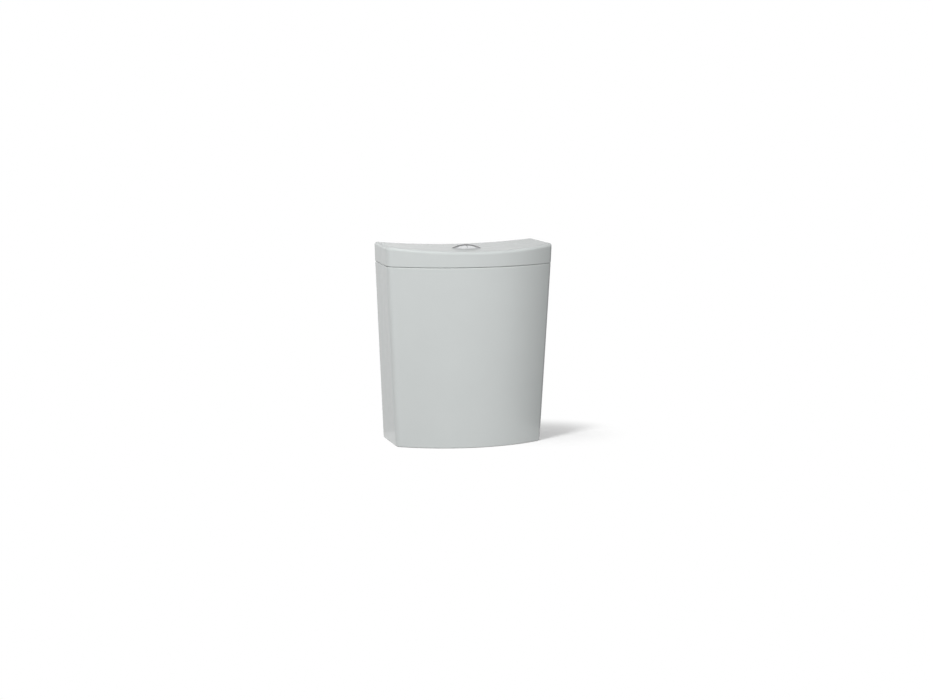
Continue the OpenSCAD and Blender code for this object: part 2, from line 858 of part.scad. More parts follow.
module fill_valve_cap() {
    ear_y = lever_w / 2 + slide_gap;
    color("white") at_fill() difference() {
        union() {
            difference() {
                translate([0, 0, cap_z]) cylinder(r = cap_r, h = cap_top - cap_z);
                translate([0, 0, cap_z - bore_over])
                    cylinder(r = head_r + fit_gap, h = head_top + diaphragm_t - cap_z + bore_over);
            }
            for (side = [0, 1]) mirror([0, side, 0])
                block([lever_x - lever_ear_half, ear_y, cap_top - cap_plate_t / 2],
                      [lever_x + lever_ear_half, ear_y + lever_ear_t, lever_z + lever_ear_half]);
        }
        translate([lever_x, 0, lever_z])
            rod_along_y(lever_pin_r + run_gap, 2 * (ear_y + lever_ear_t) + 2 * bore_over);
    }
}

module valve_diaphragm() {
    color("black") at_fill() translate([0, 0, head_top])
        cylinder(r = head_r - hole_gap, h = diaphragm_t - fit_gap);
}

// Cup open below, with a lug for the link
module float_cup() {
    lug_top = float_top - lug_drop;
    color("dimgray") at_fill() difference() {
        union() {
            difference() {
                tube(float_r, float_in, float_z, float_top);
                tube(float_r - float_wall, float_in + float_wall,
                     float_z - bore_over, float_top - float_wall);
            }
            block([float_r - float_wall, -lug_w / 2, lug_top - lug_h],
                  [link_x + lug_w / 2, lug_w / 2, lug_top]);
        }
        translate([link_x, 0, lug_top - lug_h - bore_over])
            cylinder(r = link_r + fit_gap, h = lug_h + 2 * bore_over);
    }
}

// Rod from the float's lug to the fork of the lever, with flanges under the lug and round the fork
module float_link() {
    low = float_top - lug_drop - lug_h - fit_gap - collar_lip_t;
    eye_half = nub_r + slide_gap;
    high = link_eye_z + eye_half + collar_lip_t;
    color("white") at_fill() translate([link_x, 0, 0]) {
        translate([0, 0, low]) cylinder(r = link_r, h = high - low);
        for (z = [low, link_eye_z - eye_half - collar_lip_t, link_eye_z + eye_half])
            translate([0, 0, z]) cylinder(r = collar_lip_r, h = collar_lip_t);
    }
}

// Clip that sets the water level by holding the lug on the link
module level_clip() {
    low = float_top - lug_drop + fit_gap;
    grip_w = 3;
    color("steelblue") at_fill() translate([link_x, 0, 0]) difference() {
        block([-lug_w / 2, -lug_w / 2, low], [lug_w / 2, lug_w / 2, low + level_clip_h]);
        translate([0, 0, low - bore_over]) cylinder(r = link_r + fit_gap, h = level_clip_h + 2 * bore_over);
        for (side = [-1, 1])
            translate([0, side * lug_w / 2, low + level_clip_h / 2])
                cube([lug_w + bore_over, grip_w, grip_w], center = true);
    }
}

module float_lever() {
    fork_from = lever_long - 2 * nub_r - fork_room;
    color("gray") at_fill() translate([lever_x, 0, lever_z]) rotate([0, half_lever, 0]) difference() {
        union() {
            translate([(lever_long - lever_short) / 2, 0, 0])
                cube([lever_long + lever_short, lever_w, lever_t], center = true);
            translate([lever_long, 0, 0]) rod_along_y(nub_r, lever_w);
            translate([-lever_short, 0, 0]) rod_along_y(nub_r, lever_w);
        }
        rod_along_y(lever_pin_r + run_gap, lever_w + 2 * bore_over);
        block([fork_from, -fork_gap / 2, -2 * nub_r], [lever_long + 2 * nub_r, fork_gap / 2, 2 * nub_r]);
    }
}

module lever_pin() {
    reach = lever_w / 2 + slide_gap + lever_ear_t;
    color("silver") at_fill() translate([lever_x, 0, lever_z]) {
        rod_along_y(lever_pin_r, 2 * (reach + pin_over));
        for (side = [-1, 1])
            translate([0, side * (reach + fit_gap + pin_over / 2), 0])
                rod_along_y(2 * lever_pin_r, pin_over);
    }
}

// Rigid pipe from the nipple to the mouth of the standpipe: a run, a bend and a spout
module refill_shape(r, over) {
    start = fill_x + nipple_start + nipple_gap;
    run = spout_x - bend_r - start;
    translate([start - over, spout_y, refill_z]) rotate([0, 90, 0]) cylinder(r = r, h = run + over);
    translate([spout_x - bend_r, spout_y, refill_z - bend_r]) rotate([90, 0, 0])
        rotate_extrude(angle = 90) translate([bend_r, 0]) circle(r = r);
    translate([spout_x, spout_y, spout_end - over])
        cylinder(r = r, h = refill_z - bend_r - spout_end + over);
}

module refill_pipe() {
    color("white") difference() {
        refill_shape(refill_r, 0);
        refill_shape(refill_in, bore_over);
    }
}

// Post on the tower's crown with a ring round the refill pipe
module refill_clip() {
    ring_r = refill_r + clip_w;
    half = clip_len / 2;
    color("steelblue") translate([clip_x, spout_y, 0]) difference() {
        union() {
            translate([-half, 0, refill_z]) rotate([0, 90, 0]) cylinder(r = ring_r, h = clip_len);
            block([-half, -clip_w, crown_z + ring_h], [half, clip_w, refill_z]);
        }
        translate([-half - bore_over, 0, refill_z]) rotate([0, 90, 0])
            cylinder(r = refill_r + fit_gap, h = clip_len + 2 * bore_over);
    }
}

tank();
lid();
lid_bumpers();
button_housing();
button_locknut();
full_flush_button();
half_flush_button();
full_flush_spring();
half_flush_spring();
full_flush_rod();
half_flush_rod();
full_rod_foot();
half_rod_foot();
flush_valve_base();
flush_valve_gasket();
flush_valve_nut();
bowl_gasket();
valve_tower();
rocker_pin();
full_flush_rocker();
half_flush_rocker();
flush_standpipe();
flush_seal();
seal_retainer();
half_flush_sleeve();
fill_valve_shank();
fill_valve_washer();
fill_valve_nut();
inlet_strainer();
fill_valve_riser();
riser_collar();
fill_valve_head();
fill_valve_cap();
valve_diaphragm();
float_cup();
float_link();
level_clip();
float_lever();
lever_pin();
refill_pipe();
refill_clip();
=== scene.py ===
"""Looks of a bow-fronted toilet cistern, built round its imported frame.

Shapes are worked out in millimetres and written in metres. X runs to the right, Y to the wall and Z up.
"""

import json
import math

import bmesh
import bpy
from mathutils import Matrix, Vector

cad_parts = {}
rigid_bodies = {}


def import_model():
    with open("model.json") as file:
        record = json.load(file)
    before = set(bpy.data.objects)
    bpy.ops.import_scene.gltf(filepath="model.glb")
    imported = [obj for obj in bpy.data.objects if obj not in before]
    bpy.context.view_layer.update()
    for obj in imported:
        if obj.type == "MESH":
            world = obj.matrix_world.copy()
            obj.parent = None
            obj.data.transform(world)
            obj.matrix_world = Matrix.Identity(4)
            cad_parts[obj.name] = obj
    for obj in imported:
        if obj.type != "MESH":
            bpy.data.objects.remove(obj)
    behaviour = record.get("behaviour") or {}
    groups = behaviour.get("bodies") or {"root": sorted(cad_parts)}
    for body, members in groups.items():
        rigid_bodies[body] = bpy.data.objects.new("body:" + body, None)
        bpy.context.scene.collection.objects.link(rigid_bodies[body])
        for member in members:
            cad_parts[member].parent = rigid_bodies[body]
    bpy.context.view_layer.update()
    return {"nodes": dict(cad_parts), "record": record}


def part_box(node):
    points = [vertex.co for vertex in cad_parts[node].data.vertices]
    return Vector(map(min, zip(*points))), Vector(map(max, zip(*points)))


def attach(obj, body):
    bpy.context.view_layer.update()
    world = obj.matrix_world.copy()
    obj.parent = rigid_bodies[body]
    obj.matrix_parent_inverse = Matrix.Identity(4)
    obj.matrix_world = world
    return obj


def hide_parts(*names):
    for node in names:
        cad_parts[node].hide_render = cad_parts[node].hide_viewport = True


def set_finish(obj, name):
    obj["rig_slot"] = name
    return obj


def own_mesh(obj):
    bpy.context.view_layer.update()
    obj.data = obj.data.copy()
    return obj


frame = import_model()

MM = 0.001
TAU = 2 * math.pi
NORMAL_WEIGHT = 80

# Distance of the guard loops beside rounded edges, and how far drills reach past a wall or the lid
EDGE_GUARD = 0.4
DRILL_OVER = 3.0
DRILL_TOP = 12.0

# Sizes of the ceramic, as in the solids, apart from the top edge of the lid, which is rounder here
TANK_W = 332.2
BACK_W = 325.6
TANK_BASE_W = 294.6
TANK_D = 186.0
TANK_BASE_D = 169.5
SIDE_D = 129.0
SIDE_BASE_D = 120.0
TANK_H = 356.4
WALL = 10.0
FLOOR_T = 11.0
SKIRT_H = 34.0
CORNER_R = 18.0
BACK_CORNER_R = 6.0
LEAST_CORNER_R = 3.0
EDGE_R = 2.0
FLOOR_FILLET = 8.0
BOLT_SPACING = 140.0
BOLT_HOLE_R = 6.0
LID_OVER = 0.2
LID_GAP = 0.5
LID_END_H = 39.0
LID_DIP = 8.4
LID_T = 11.0
LID_EDGE_R = 6.5
LID_EDGE_SOLID_R = 4.5
LID_LOWER_R = 1.2
LIP_H = 7.0
LIP_T = 7.0
LIP_GAP = 3.0
LID_MID_H = LID_END_H - LID_DIP
LEAN = (TANK_D - TANK_BASE_D) / TANK_H
BACK_Y = (TANK_D + LEAN * (LID_MID_H - LID_EDGE_SOLID_R)) / 2
FLOOR_Z = SKIRT_H + FLOOR_T
LAND_Z = TANK_H + LID_GAP
LID_HALF_W = TANK_W / 2 + LID_OVER
TOP_Z = LAND_Z + LID_MID_H
CEILING_Z = TOP_Z - LID_T
LIP_OUT = WALL + LIP_GAP
LIP_IN = LIP_OUT + LIP_T

# The flush axis and the flush button
OUTLET_PLACE = 0.5782
AXIS_Y = BACK_Y - OUTLET_PLACE * TANK_BASE_D
BEZEL_R = 29.0
BEZEL_Z = TOP_Z + 0.3
BEZEL_H = 2.25
BEZEL_TOP = BEZEL_Z + BEZEL_H
BUTTON_R = 24.3
DOME_H = 4.9
DOME_TOP = BEZEL_TOP + DOME_H
DOME_R = (BUTTON_R * BUTTON_R + DOME_H * DOME_H) / (2 * DOME_H)
CUP_R = BUTTON_R + 0.3
CUP_OUT = CUP_R + 1.6
CUP_BOTTOM = TOP_Z - 33.0
CUP_FLOOR = CUP_BOTTOM + 3.0
CUP_THREAD = 0.8
CUP_PITCH = 3.0
LID_HOLE_R = CUP_OUT + 0.6
SPLIT_X = -3.0
SPLIT_HALF = 0.22  # a narrower gap than in the solids
BUTTON_SKIRT = 13.0
BUTTON_WALL = 1.6
BUTTON_CEILING = BEZEL_TOP - BUTTON_WALL
ROCKER_ARM = 16.0
ROCKER_HALF_TURN = math.radians(14.5)
ROD_X = ROCKER_ARM * math.cos(ROCKER_HALF_TURN)
ROD_Y = 3.2
ROD_R = 2.0
BOSS_R = 3.6
BOSS_H = 10.0
SPRING_R = 5.2
SPRING_WIRE = 0.6
SPRING_TURNS = 6
SPRING_LOW = CUP_FLOOR + SPRING_WIRE + 0.1
SPRING_HIGH = BUTTON_CEILING - SPRING_WIRE - 0.1

# The two holes for the valves
OUTLET_HOLE_R = 33.0
shank_low, shank_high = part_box("fill_valve_shank")
FILL_X = (shank_low.x + shank_high.x) / 2 / MM
FILL_Y = (shank_low.y + shank_high.y) / 2 / MM
FILL_HOLE_R = 14.28


# Small helpers

def lerp(a, b, t):
    return a + (b - a) * t


def link_object(name, mesh):
    obj = bpy.data.objects.new(name, mesh)
    bpy.context.scene.collection.objects.link(obj)
    return obj


def mesh_object(name, points, faces, indices=None):
    """Mesh from points in millimetres."""
    mesh = bpy.data.meshes.new(name)
    mesh.from_pydata([(x * MM, y * MM, z * MM) for x, y, z in points], [], faces)
    if indices is not None:
        mesh.polygons.foreach_set("material_index", indices)
    mesh.update()
    return link_object(name, mesh)


def face_outward(obj):
    bm = bmesh.new()
    bm.from_mesh(obj.data)
    bmesh.ops.recalc_face_normals(bm, faces=bm.faces)
    bm.to_mesh(obj.data)
    bm.free()


def smooth(obj, angle=32):
    """Smooth shading with sharp edges over an angle, weighted by the size of the faces."""
    obj.data.shade_smooth()
    obj.data.set_sharp_from_angle(angle=math.radians(angle))
    weighted = obj.modifiers.new("weighted", "WEIGHTED_NORMAL")
    weighted.keep_sharp = True
    weighted.weight = NORMAL_WEIGHT
    return obj


def arc(centre, r, start, end, steps):
    """Points of an arc in a plane, with angles in degrees."""
    points = []
    for i in range(steps + 1):
        a = math.radians(lerp(start, end, i / steps))
        points.append((centre[0] + r * math.cos(a), centre[1] + r * math.sin(a)))
    return points


def apply_modifiers(obj):
    bpy.context.view_layer.update()
    graph = bpy.context.evaluated_depsgraph_get()
    mesh = bpy.data.meshes.new_from_object(obj.evaluated_get(graph))
    obj.modifiers.clear()
    obj.data = mesh


def drill(obj, holes, low, high, sides=128):
    """Cuts upright round holes, given as (x, y, radius), out of a piece."""
    for x, y, r in holes:
        cutter = lathe("cutter", [(0, low), (r, low), (r, high), (0, high)], (x, y), sides)
        cut = obj.modifiers.new("hole", "BOOLEAN")
        cut.object = cutter
        cut.operation = "DIFFERENCE"
        cut.solver = "EXACT"
        apply_modifiers(obj)
        bpy.data.objects.remove(cutter)


def lathe(name, profile, centre=(0, 0), sides=96, cut=None):
    """Solid of revolution about an upright axis from a closed profile of (radius, height) points.

    A third value in a point is the depth of a cut there, such as a thread or ribs. cut gives the share of
    that depth at a share of a turn and a height.
    """
    points = []
    rings = []
    for r, z, *depth in profile:
        if r < 1e-6:
            rings.append([len(points)] * sides)
            points.append((centre[0], centre[1], z))
            continue
        ring = []
        for k in range(sides):
            a = TAU * k / sides
            reach = r - depth[0] * cut(k / sides, z) if depth else r
            ring.append(len(points))
            points.append((centre[0] + reach * math.cos(a), centre[1] + reach * math.sin(a), z))
        rings.append(ring)
    faces = []
    for i in range(len(rings)):
        low = rings[i]
        high = rings[(i + 1) % len(rings)]
        for k in range(sides):
            m = (k + 1) % sides
            loop = []
            for p in (low[k], low[m], high[m], high[k]):
                if p not in loop:
                    loop.append(p)
            if len(loop) > 2:
                faces.append(loop)
    obj = mesh_object(name, points, faces)
    face_outward(obj)
    return obj


def rounded(profile, radii, steps=4):
    """Rounds the corners of a closed profile: one radius for each corner, or one for all."""
    n = len(profile)
    if not isinstance(radii, (list, tuple)):
        radii = [radii] * n
    points = []
    for i in range(n):
        here = Vector(profile[i])
        before = Vector(profile[i - 1]) - here
        after = Vector(profile[(i + 1) % n]) - here
        reach = min(before.length, after.length) * 0.45
        turn = before.angle(after)
        if radii[i] <= 0 or turn > math.pi - 0.02:
            points.append(tuple(here))
            continue
        back = min(radii[i] / math.tan(turn / 2), reach)
        start = here + before.normalized() * back
        end = here + after.normalized() * back
        for k in range(steps + 1):
            t = k / steps
            p = start * (1 - t) ** 2 + here * 2 * t * (1 - t) + end * t * t
            points.append(tuple(p))
    return points


def groove(phase):
    """Section of a rounded groove over one pitch, from 0 on the crest to 1 at the root."""
    wave = 0.5 - 0.5 * math.cos(TAU * phase)
    return min(1.0, max(0.0, 1.5 * wave - 0.25))


def with_cut(profile, r, low, high, depth, fade, step):
    """Adds the points of a cut to the upright side of a closed profile at a radius, fading at both ends."""
    points = []
    count = math.ceil((high - low) / step)
    for i, here in enumerate(profile):
        there = profile[(i + 1) % len(profile)]
        points.append(here)
        upright = abs(here[0] - r) < 0.01 and abs(there[0] - r) < 0.01
        if not upright or abs(here[1] - there[1]) < high - low:
            continue
        stations = []
        for k in range(count + 1):
            z = lerp(low, high, k / count)
            share = min(1.0, (z - low) / fade, (high - z) / fade)
            stations.append((r, z, depth * share))
        if here[1] > there[1]:
            stations.reverse()
        points += stations
    return points


def screw(pitch):
    """Cut of a right-hand screw thread."""
    return lambda turn, z: groove(z / pitch - turn)


def joined(name, pieces):
    """One object from several."""
    bm = bmesh.new()
    for piece in pieces:
        bm.from_mesh(piece.data)
        bpy.data.objects.remove(piece)
    mesh = bpy.data.meshes.new(name)
    bm.to_mesh(mesh)
    bm.free()
    return link_object(name, mesh)


stood_for = set()


def stand_in(piece, body, slot, node):
    """A piece that shows in place of a solid, on its body and with its finish."""
    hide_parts(node)
    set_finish(piece, slot)
    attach(piece, body)
    stood_for.add(node)
    return piece


def span(node):
    """Middle of a node in plan, its half width along X, and its lowest and highest point.

    All are in millimetres.
    """
    low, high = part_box(node)
    centre = ((low.x + high.x) / 2 / MM, (low.y + high.y) / 2 / MM)
    return centre, (high.x - low.x) / 2 / MM, low.z / MM, high.z / MM


# The tank and the lid

def tank_plan(z):
    """Half width, side depth, middle depth and share of the width at the back, at a height."""
    t = z / TANK_H
    return (
        lerp(TANK_BASE_W, TANK_W, t) / 2,
        lerp(SIDE_BASE_D, SIDE_D, t),
        lerp(TANK_BASE_D, TANK_D, t),
        lerp(1, BACK_W / TANK_W, t),
    )


def bow_ring(plan, inset, corner_steps=14, front_steps=96):
    """Bow-fronted outline taken in by an inset: the front from left to right, then the back."""
    half, side, middle, share = plan
    rise = middle - side
    bow = (half * half + rise * rise) / (2 * rise)
    centre_y = BACK_Y - middle + bow
    w = half - inset
    back_half = half * share - inset
    r = bow - inset
    fr = max(CORNER_R - inset, LEAST_CORNER_R)
    br = max(BACK_CORNER_R - inset, LEAST_CORNER_R)
    corner_y = centre_y - math.sqrt((r - fr) ** 2 - (w - fr) ** 2)
    turn = math.degrees(math.atan2(corner_y - centre_y, w - fr))
    front_right = arc((w - fr, corner_y), fr, turn, 0, corner_steps)
    front = arc((0, centre_y), r, -180 - turn, turn, front_steps)[1:-1]
    back_right = arc((back_half - br, BACK_Y - inset - br), br, 0, 90, corner_steps)
    back = []
    for i in range(1, front_steps):
        back.append((lerp(back_half - br, br - back_half, i / front_steps), BACK_Y - inset))
    front_left = [(-x, y) for x, y in reversed(front_right)]
    back_left = [(-x, y) for x, y in reversed(back_right)]
    return front_left + front + front_right + back_right + back + back_left


def loft(name, rings, bands, cap_height, cap_steps=10):
    """Closed solid through rings of equal length, capped by strips from the front to the back.

    bands gives a material index for each step between rings, then one for each cap. cap_height gives
    the height of a cap at a place, for the first cap and the last.
    """
    n = len(rings[0])
    points = []
    for ring in rings:
        points += ring
    faces = []
    indices = []
    for i in range(len(rings) - 1):
        for k in range(n):
            a = i * n + k
            b = i * n + (k + 1) % n
            faces.append((a, b, b + n, a + n))
            indices.append(bands[i])
    half = n // 2
    for end in (0, 1):
        first = 0 if end == 0 else (len(rings) - 1) * n
        columns = []
        for j in range(half):
            front = points[first + j]
            back = points[first + n - 1 - j]
            column = [first + j]
            for s in range(1, cap_steps):
                t = s / cap_steps
                x = lerp(front[0], back[0], t)
                y = lerp(front[1], back[1], t)
                column.append(len(points))
                points.append((x, y, cap_height[end](x, y)))
            column.append(first + n - 1 - j)
            columns.append(column)
        for j in range(half - 1):
            for s in range(cap_steps):
                quad = (columns[j][s], columns[j + 1][s], columns[j + 1][s + 1], columns[j][s + 1])
                faces.append(quad)
                indices.append(bands[len(rings) - 1 + end])
    obj = mesh_object(name, points, faces, indices)
    face_outward(obj)
    return obj


def dish(x):
    return LID_DIP * (x / LID_HALF_W) ** 2


GLAZE = 0
BARE = 1
INSIDE = 2


def tank_shell():
    outer_steps = 14
    inner_steps = 8
    stations = []
    bands = []

    def add(points, material):
        for p in points:
            stations.append(p)
            bands.append(material)

    add(arc((WALL + FLOOR_FILLET, SKIRT_H - FLOOR_FILLET), FLOOR_FILLET, 90, 180, 8), BARE)
    add([(WALL, lerp(SKIRT_H - FLOOR_FILLET, EDGE_R, t)) for t in (0.3, 0.7)], BARE)
    add(arc((WALL - EDGE_R, EDGE_R), EDGE_R, 0, -90, 5), BARE)
    add(arc((EDGE_R, EDGE_R), EDGE_R, -90, -180, 6)[:4], BARE)
    add(arc((EDGE_R, EDGE_R), EDGE_R, -90, -180, 6)[4:], GLAZE)
    wall_top = TANK_H - EDGE_R
    add([(0, EDGE_R + EDGE_GUARD)], GLAZE)
    add([(0, lerp(EDGE_R, wall_top, i / outer_steps)) for i in range(1, outer_steps)], GLAZE)
    add([(0, wall_top - EDGE_GUARD)], GLAZE)
    add(arc((EDGE_R, wall_top), EDGE_R, 180, 90, 6), GLAZE)
    add([(EDGE_R + EDGE_GUARD, TANK_H), (WALL - EDGE_R - EDGE_GUARD, TANK_H)], GLAZE)
    add(arc((WALL - EDGE_R, wall_top), EDGE_R, 90, 0, 6), GLAZE)
    low = FLOOR_Z + FLOOR_FILLET
    add([(WALL, lerp(wall_top, low, i / inner_steps)) for i in range(1, inner_steps)], INSIDE)
    add(arc((WALL + FLOOR_FILLET, low), FLOOR_FILLET, 180, 270, 8), INSIDE)
    rings = []
    for inset, z in stations:
        rings.append([(x, y, z) for x, y in bow_ring(tank_plan(z), inset)])
    heights = (lambda x, y: SKIRT_H, lambda x, y: FLOOR_Z)
    obj = loft("tank_shell", rings, bands[:-1] + [BARE, INSIDE], heights)
    holes = [(0, AXIS_Y, OUTLET_HOLE_R), (FILL_X, FILL_Y, FILL_HOLE_R)]
    for side in (-1, 1):
        holes.append((side * BOLT_SPACING / 2, AXIS_Y, BOLT_HOLE_R))
    drill(obj, holes, SKIRT_H - DRILL_OVER, FLOOR_Z + DRILL_OVER)
    return smooth(obj)


def lid_shell():
    side_steps = 5
    stations = []
    bands = []

    def add(points, dished, material):
        for inset, z in points:
            stations.append((inset, z, dished))
            bands.append(material)

    add([(LIP_IN, LID_MID_H - LID_T)], 1, BARE)
    add([(LIP_IN, -LIP_H)], 0, BARE)
    add([(LIP_OUT, -LIP_H), (LIP_OUT, 0)], 0, BARE)
    add([(LID_LOWER_R - LID_OVER + EDGE_GUARD, 0)], 0, BARE)
    add(arc((LID_LOWER_R - LID_OVER, LID_LOWER_R), LID_LOWER_R, -90, -180, 6), 0, GLAZE)
    add([(-LID_OVER, LID_LOWER_R + EDGE_GUARD)], 0, GLAZE)
    top_arc = arc((LID_EDGE_R - LID_OVER, LID_MID_H - LID_EDGE_R), LID_EDGE_R, 180, 90, 16)
    for i in range(1, side_steps):
        t = i / side_steps
        add([(-LID_OVER, lerp(LID_LOWER_R, LID_MID_H - LID_EDGE_R, t))], t, GLAZE)
    add(top_arc, 1, GLAZE)
    add([(LID_EDGE_R - LID_OVER + EDGE_GUARD, LID_MID_H)], 1, GLAZE)
    rings = []
    for inset, z, dished in stations:
        outline = bow_ring(tank_plan(TANK_H + z), inset)
        rings.append([(x, y, LAND_Z + z + dished * dish(x)) for x, y in outline])
    heights = (lambda x, y: CEILING_Z + dish(x), lambda x, y: TOP_Z + dish(x))
    obj = loft("lid_shell", rings, bands[:-1] + [BARE, GLAZE], heights, 24)
    drill(obj, [(0, AXIS_Y, LID_HOLE_R)], CEILING_Z - DRILL_OVER, TOP_Z + DRILL_TOP)
    return smooth(obj)


tank_piece = stand_in(tank_shell(), "cistern", "ceramic", "tank")
lid_piece = stand_in(lid_shell(), "lid", "ceramic", "lid")


# The flush button

def button_bezel():
    """Chrome ring with a soft crowned section, and the cup that hangs from it."""
    profile = [
        (CUP_OUT, CUP_BOTTOM), (CUP_OUT, BEZEL_Z), (BEZEL_R, BEZEL_Z), (BEZEL_R, BEZEL_Z + 0.5),
        ((BEZEL_R + CUP_OUT) / 2, BEZEL_Z + BEZEL_H * 0.55), (CUP_R, BEZEL_TOP),
        (CUP_R, CUP_FLOOR), (0, CUP_FLOOR), (0, CUP_BOTTOM),
    ]
    radii = [0.5, 0.2, 0.2, 0.4, 2.0, 0.35, 0.5, 0, 0]
    section = rounded(profile, radii, 6)
    step = CUP_PITCH / 8
    section = with_cut(section, CUP_OUT, CUP_BOTTOM + 2, CEILING_Z + 1, CUP_THREAD, CUP_PITCH, step)
    obj = lathe("button_bezel", section, (0, AXIS_Y), 160, screw(CUP_PITCH))
    holes = [(side * ROD_X, AXIS_Y - side * ROD_Y, ROD_R + 0.3) for side in (-1, 1)]
    drill(obj, holes, CUP_BOTTOM - 1, CUP_FLOOR + 1, 48)
    return smooth(obj)


def button_outline(side, inset, steps):
    """Outline of one button, taken in by an inset: its arc, then its straight edge along the split."""
    r = BUTTON_R - inset
    edge = SPLIT_X + side * (SPLIT_HALF + inset)
    reach = math.degrees(math.acos(max(-1, min(1, side * edge / r))))
    points = []
    for x, y in arc((0, 0), r, -reach, reach, steps):
        points.append((side * x, side * y))
    x0, y0 = points[-1]
    x1, y1 = points[0]
    for i in range(1, steps // 2):
        t = i / (steps // 2)
        points.append((lerp(x0, x1, t), lerp(y0, y1, t)))
    return points


def dome_z(x, y):
    return DOME_TOP - DOME_R + math.sqrt(DOME_R * DOME_R - x * x - y * y)


def button_cap(name, side, steps=80):
    """One half of the domed button: rounded edges, a hollow skirt and the boss for its rod."""
    low = BEZEL_TOP - BUTTON_SKIRT
    edge_r = 0.7
    edge_steps = 8
    middle = ((SPLIT_X + side * BUTTON_R) / 2 + side * 1.0, 0.0)
    rings = []

    def at(inset, height):
        rings.append([(x, y, height(x, y)) for x, y in button_outline(side, inset, steps)])

    inner = BUTTON_WALL
    at(inner, lambda x, y: BUTTON_CEILING)
    at(inner, lambda x, y: low)
    at(0.2, lambda x, y: low)
    at(0, lambda x, y: low + 0.2)
    at(0, lambda x, y: BEZEL_TOP - edge_r - 0.6)
    for i in range(edge_steps + 1):
        a = math.radians(90 * i / edge_steps)
        drop = edge_r * (1 - math.sin(a))
        at(edge_r * (1 - math.cos(a)), lambda x, y, drop=drop: dome_z(x, y) - drop)
    outline = rings[-1]
    for share in (0.97, 0.9, 0.75, 0.6, 0.45, 0.3, 0.15, 0.05):
        ring = []
        for x, y, z in outline:
            px = lerp(middle[0], x, share)
            py = lerp(middle[1], y, share)
            ring.append((px, py, dome_z(px, py)))
        rings.append(ring)
    n = len(outline)
    points = []
    for ring in rings:
        points += [(x, y + AXIS_Y, z) for x, y, z in ring]
    faces = []
    for i in range(len(rings) - 1):
        for k in range(n):
            a = i * n + k
            b = i * n + (k + 1) % n
            faces.append((a, b, b + n, a + n))
    faces.append(tuple(range(n)))
    faces.append(tuple((len(rings) - 1) * n + k for k in range(n)))
    shell = mesh_object(name + "_shell", points, faces)
    face_outward(shell)
    top = BUTTON_CEILING + BUTTON_WALL / 2
    low = BUTTON_CEILING - BOSS_H
    section = [(ROD_R + 0.1, low), (BOSS_R, low), (BOSS_R, top), (ROD_R + 0.1, top)]
    place = (side * ROD_X, AXIS_Y - side * ROD_Y)
    boss = lathe(name + "_boss", rounded(section, [0.4, 0.4, 0, 0]), place, 48)
    return smooth(joined(name, [shell, boss]), 40)


def spring_coil(name, x, y, rings_per_turn=36, sides=12):
    """Compression spring, as an open coil."""
    count = SPRING_TURNS * rings_per_turn
    points = []
    for i in range(count + 1):
        t = i / count
        a = TAU * SPRING_TURNS * t
        z = lerp(SPRING_LOW, SPRING_HIGH, t)
        for k in range(sides):
            b = TAU * k / sides
            r = SPRING_R + SPRING_WIRE * math.cos(b)
            points.append((x + r * math.cos(a), y + r * math.sin(a), z + SPRING_WIRE * math.sin(b)))
    faces = []
    for i in range(count):
        for k in range(sides):
            a = i * sides + k
            b = i * sides + (k + 1) % sides
            faces.append((a, b, b + sides, a + sides))
    faces.append(tuple(range(sides)))
    faces.append(tuple(count * sides + k for k in range(sides)))
    obj = mesh_object(name, points, faces)
    face_outward(obj)
    obj.data.shade_smooth()
    return obj


stand_in(button_bezel(), "lid", "chrome", "button_housing")

for label, side in (("full", 1), ("half", -1)):
    cap = button_cap(label + "_button_cap", side)
    stand_in(cap, label + "_button", "chrome", label + "_flush_button")
    coil = spring_coil(label + "_flush_coil", side * ROD_X, AXIS_Y - side * ROD_Y)
    stand_in(coil, "lid", "spring_steel", label + "_flush_spring")
    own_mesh(coil)


# Threaded, ribbed and soft pieces

SLIDE = 0.3
TAIL_R = 31.0
TAIL_END = 8.0
VALVE_NUT_R = 41.0
VALVE_NUT_T = 12.0
INLET_R = 10.48
INLET_BORE_R = 7.0
INLET_PITCH = 1.814
INLET_THREAD = 1.0
COLUMN_R = 13.0
FLANGE_T = 4.0
RISER_R = 15.5
ROD_PITCH = 1.6
ROD_THREAD = 0.3
RETAINER_W = 2.6


def inlet_shank():
    """Shank of the fill valve, with its flange and the screw thread for the nut and the supply."""
    centre, flange_r, low, high = span("fill_valve_shank")
    flange_z = span("fill_valve_washer")[3]
    profile = [
        (INLET_BORE_R, low), (INLET_R, low), (INLET_R, flange_z), (flange_r, flange_z),
        (flange_r, flange_z + FLANGE_T), (COLUMN_R, flange_z + FLANGE_T),
        (COLUMN_R, high), (INLET_BORE_R, high),
    ]
    section = rounded(profile, [0.5, 0.8, 0, 0.6, 0.8, 0, 0.6, 0.5])
    section = with_cut(section, INLET_R, low + 1, FLOOR_Z, INLET_THREAD, INLET_PITCH, INLET_PITCH / 10)
    return smooth(lathe("inlet_shank", section, centre, 96, screw(INLET_PITCH)))


def ribbed_collar():
    """Grip ring of the riser, ribbed for the fingers."""
    centre, r, low, high = span("riser_collar")
    profile = [(RISER_R + 0.1, low), (r, low), (r, high), (RISER_R + 0.1, high)]
    section = with_cut(rounded(profile, [0.3, 0.8, 0.8, 0.3]), r, low + 1, high - 1, 0.9, 0.8, 0.4)
    return smooth(lathe("ribbed_collar", section, centre, 288, lambda turn, z: groove(turn * 36)))


def push_rod(name, node):
    """Rod of a button, threaded where its foot screws on."""
    centre, r, low, high = span(node)
    section = rounded([(0, low), (r, low), (r, high), (0, high)], [0, 0.4, 0.3, 0])
    section = with_cut(section, r, low + 1, lerp(low, high, 0.55), ROD_THREAD, ROD_PITCH, ROD_PITCH / 8)
    return smooth(lathe(name, section, centre, 48, screw(ROD_PITCH)))


